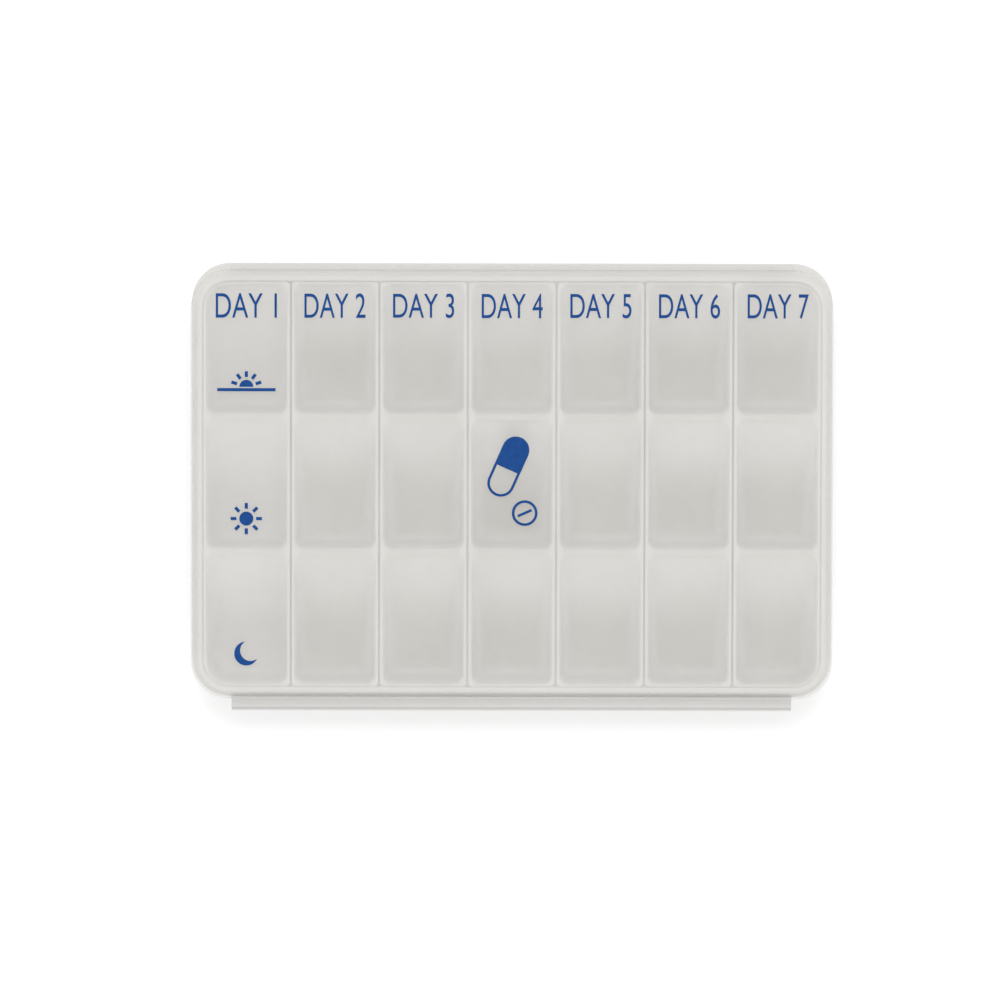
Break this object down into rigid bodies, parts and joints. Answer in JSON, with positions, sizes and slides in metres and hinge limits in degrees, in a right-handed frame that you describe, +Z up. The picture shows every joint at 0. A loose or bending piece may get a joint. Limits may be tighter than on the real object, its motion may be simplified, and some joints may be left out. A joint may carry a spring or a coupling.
{
  "type": "pill organizer",
  "caption": "Flat weekly pill organizer in frosted plastic: a flanged case of drop-in day trays under one printed lid on a film hinge.",
  "frame": {"origin": "centre of the case's flat underside", "axes": "+X along the days, +Y from the hinge edge to the grip lips, +Z up through the lid"},
  "size_m": [0.16, 0.112, 0.0207],
  "materials": {
    "case_plastic": "frosted translucent",
    "tray_plastic": "frosted translucent",
    "lid_plastic": "frosted translucent, printed",
    "film_plastic": "thin translucent film"
  },
  "bodies": {
    "base": {"case": "case_plastic", "day_tray_1": "tray_plastic", "day_tray_2": "tray_plastic", "day_tray_3": "tray_plastic", "day_tray_4": "tray_plastic", "day_tray_5": "tray_plastic", "day_tray_6": "tray_plastic", "day_tray_7": "tray_plastic", "case_hinge_leaf": "case_plastic", "case_snap_rail": "case_plastic", "hinge_film": "film_plastic"},
    "lid": {"lid": "lid_plastic", "lid_hinge_leaf": "lid_plastic", "lid_grip_lip": "lid_plastic", "lid_snap_rail": "lid_plastic"}
  },
  "joints": [
    {"name": "lid_hinge", "type": "hinge", "parent": "base", "child": "lid", "pos_m": [0, -0.05702, 0.01265], "axis": [1, 0, 0], "range_deg": [0, 180], "deforming": ["hinge_film"]}
  ]
}
